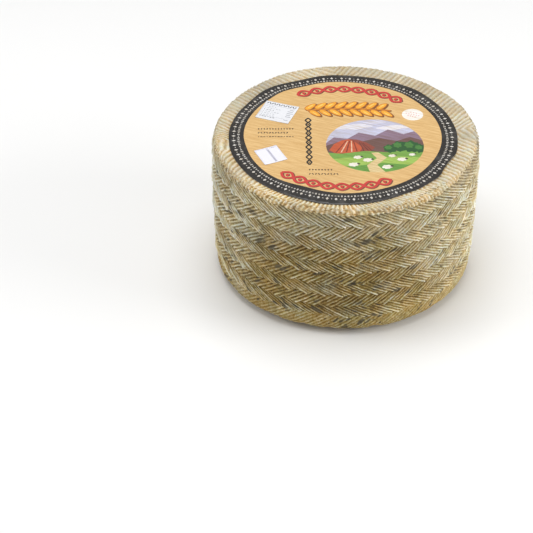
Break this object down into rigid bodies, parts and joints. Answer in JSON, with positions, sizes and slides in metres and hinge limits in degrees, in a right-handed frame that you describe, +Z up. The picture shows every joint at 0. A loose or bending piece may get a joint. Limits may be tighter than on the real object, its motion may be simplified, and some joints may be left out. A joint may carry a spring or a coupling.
{
  "type": "semi-cured sheep cheese wheel",
  "caption": "Whole short round wheel of semi-cured sheep cheese with a plait-printed ridged rind and a round paper label and small stickers on top.",
  "frame": {"origin": "centre of the flat face the wheel rests on", "axes": "+Z up along the wheel's axis, +X to the right and -Y towards the shown side"},
  "size_m": [0.188, 0.188, 0.1082],
  "materials": {
    "rind": "dry natural cheese rind, matt, cream crests and ochre-grey grooves with scattered blue-grey mould",
    "label_paper": "printed coated paper: tan centre in a near-black ring, soft sheen",
    "sticker_paper": "plain white paper, matt"
  },
  "bodies": {
    "root": {"cheese_wheel": "rind", "paper_label": "label_paper", "wide_sticker": "sticker_paper", "small_sticker": "sticker_paper"}
  },
  "joints": []
}
